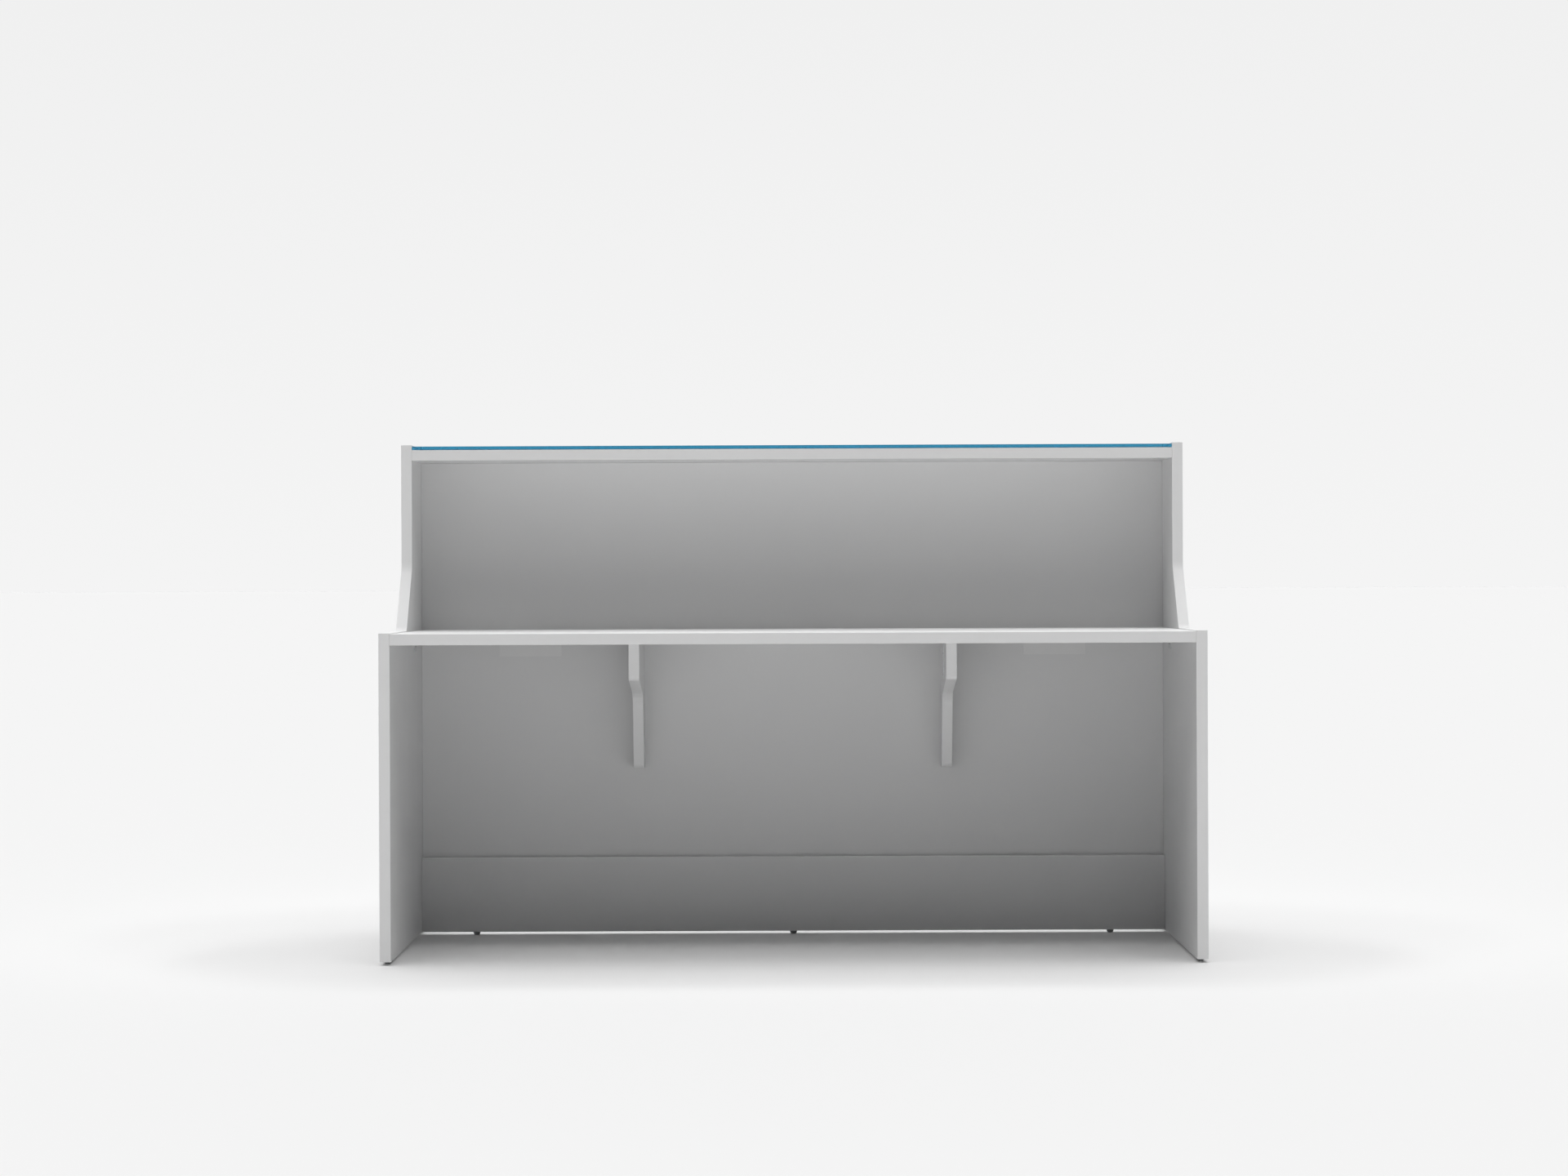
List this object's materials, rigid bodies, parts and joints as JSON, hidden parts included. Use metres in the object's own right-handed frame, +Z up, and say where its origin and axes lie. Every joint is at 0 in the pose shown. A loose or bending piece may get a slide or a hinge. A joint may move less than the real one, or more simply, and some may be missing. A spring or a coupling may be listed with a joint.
{
  "type": "reception counter",
  "caption": "Reception counter with a low staff worktop on board brackets, stepped side panels, and a raised glass topped shelf that faces visitors.",
  "frame": {"origin": "on the floor, in the middle of the footprint", "axes": "+X across the counter, to the right as staff see it; +Y from the staff side to the visitor side; +Z up"},
  "size_m": [1.85, 0.8, 1.18],
  "materials": {
    "melamine": "white melamine faced board, fine satin texture",
    "edge_band": "white edge banding, satin",
    "blue_glass": "float glass with a blue back, polished edges",
    "zinc": "bright zinc plate",
    "powder_coat": "white powder coat",
    "beech": "plain turned beech",
    "foot_plastic": "grey moulded plastic",
    "cap_plastic": "white moulded plastic"
  },
  "bodies": {
    "counter": {"left_side_panel": "melamine", "right_side_panel": "melamine", "worktop": "melamine", "top_shelf": "melamine", "front_panel": "melamine", "plinth_panel": "melamine", "left_bracket": "melamine", "right_bracket": "melamine", "left_side_edge_band": "edge_band", "right_side_edge_band": "edge_band", "worktop_edge_band": "edge_band", "top_shelf_staff_edge_band": "edge_band", "top_shelf_visitor_edge_band": "edge_band", "front_panel_edge_band": "edge_band", "plinth_bottom_edge_band": "edge_band", "plinth_top_edge_band": "edge_band", "left_bracket_edge_band": "edge_band", "right_bracket_edge_band": "edge_band", "glass_top": "blue_glass", "left_worktop_angle": "zinc", "right_worktop_angle": "zinc", "left_bracket_angle": "zinc", "right_bracket_angle": "zinc", "left_front_angle": "powder_coat", "right_front_angle": "powder_coat", "front_left_lower_dowel": "beech", "front_left_upper_dowel": "beech", "front_right_lower_dowel": "beech", "front_right_upper_dowel": "beech", "plinth_left_dowel": "beech", "plinth_right_dowel": "beech", "left_bracket_dowel": "beech", "right_bracket_dowel": "beech", "shelf_left_staff_cam_bolt": "zinc", "shelf_left_staff_cam_lock": "zinc", "shelf_left_staff_cam_cap": "cap_plastic", "shelf_left_visitor_cam_bolt": "zinc", "shelf_left_visitor_cam_lock": "zinc", "shelf_left_visitor_cam_cap": "cap_plastic", "shelf_right_staff_cam_bolt": "zinc", "shelf_right_staff_cam_lock": "zinc", "shelf_right_staff_cam_cap": "cap_plastic", "shelf_right_visitor_cam_bolt": "zinc", "shelf_right_visitor_cam_lock": "zinc", "shelf_right_visitor_cam_cap": "cap_plastic", "staff_left_foot_insert": "zinc", "staff_right_foot_insert": "zinc", "visitor_left_foot_insert": "zinc", "visitor_right_foot_insert": "zinc", "plinth_left_foot_insert": "zinc", "plinth_middle_foot_insert": "zinc", "plinth_right_foot_insert": "zinc"},
    "staff_left_foot": {"staff_left_foot": "foot_plastic"},
    "staff_right_foot": {"staff_right_foot": "foot_plastic"},
    "visitor_left_foot": {"visitor_left_foot": "foot_plastic"},
    "visitor_right_foot": {"visitor_right_foot": "foot_plastic"},
    "plinth_left_foot": {"plinth_left_foot": "foot_plastic"},
    "plinth_middle_foot": {"plinth_middle_foot": "foot_plastic"},
    "plinth_right_foot": {"plinth_right_foot": "foot_plastic"}
  },
  "joints": [
    {"name": "staff_left_foot_travel", "type": "slide", "parent": "counter", "child": "staff_left_foot", "axis": [0, 0, -1], "range_m": [0, 0.012]},
    {"name": "staff_right_foot_travel", "type": "slide", "parent": "counter", "child": "staff_right_foot", "axis": [0, 0, -1], "range_m": [0, 0.012]},
    {"name": "visitor_left_foot_travel", "type": "slide", "parent": "counter", "child": "visitor_left_foot", "axis": [0, 0, -1], "range_m": [0, 0.012]},
    {"name": "visitor_right_foot_travel", "type": "slide", "parent": "counter", "child": "visitor_right_foot", "axis": [0, 0, -1], "range_m": [0, 0.012]},
    {"name": "plinth_left_foot_travel", "type": "slide", "parent": "counter", "child": "plinth_left_foot", "axis": [0, 0, -1], "range_m": [0, 0.012]},
    {"name": "plinth_middle_foot_travel", "type": "slide", "parent": "counter", "child": "plinth_middle_foot", "axis": [0, 0, -1], "range_m": [0, 0.012]},
    {"name": "plinth_right_foot_travel", "type": "slide", "parent": "counter", "child": "plinth_right_foot", "axis": [0, 0, -1], "range_m": [0, 0.012]}
  ]
}
